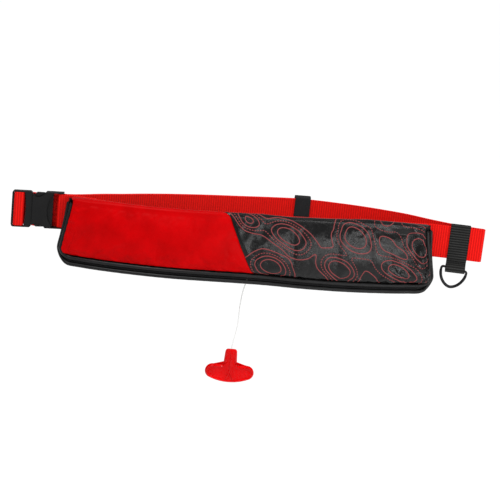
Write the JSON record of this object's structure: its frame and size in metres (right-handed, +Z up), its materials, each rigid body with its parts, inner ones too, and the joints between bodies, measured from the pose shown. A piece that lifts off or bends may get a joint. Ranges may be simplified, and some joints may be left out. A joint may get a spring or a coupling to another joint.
{
  "type": "inflatable belt pack",
  "caption": "Slim curved waist pouch with a zip round its edge on a webbing belt with a side-release buckle, a hanging D-ring and a pull handle on a cord.",
  "frame": {"origin": "middle of the waist hollow, level with the middle of the belt's height", "axes": "+Z up, +X along the pouch towards the D-ring, -Y the side the pouch is on"},
  "size_m": [0.5354, 0.1421, 0.1969],
  "materials": {
    "red_cloth": "smooth coated cloth",
    "black_cloth": "smooth coated cloth",
    "red_webbing": "ribbed webbing",
    "black_webbing": "ribbed webbing",
    "zip_coil": "satin",
    "black_plastic": "satin",
    "red_plastic": "glossy",
    "white_cord": "braided"
  },
  "bodies": {
    "pack": {"front_panel_red": "red_cloth", "front_panel_black": "black_cloth", "back_panel": "black_cloth", "gusset": "black_cloth", "zip_roll_outer": "black_cloth", "zip": "zip_coil", "zip_roll_inner": "black_cloth", "belt_sleeve": "black_cloth", "belt": "red_webbing", "buckle_male": "black_plastic", "buckle_female": "black_plastic", "keeper": "black_webbing", "d_ring_loop": "black_webbing", "pull_cord": "white_cord", "pull_handle": "red_plastic"},
    "ring": {"d_ring": "black_plastic"}
  },
  "joints": [
    {"name": "d_ring_swing", "type": "hinge", "parent": "pack", "child": "ring", "pos_m": [0.2382, -0.02115, -0.0305], "axis": [0.978, -0.1551, -0.1392], "range_deg": [-140, 100]}
  ]
}
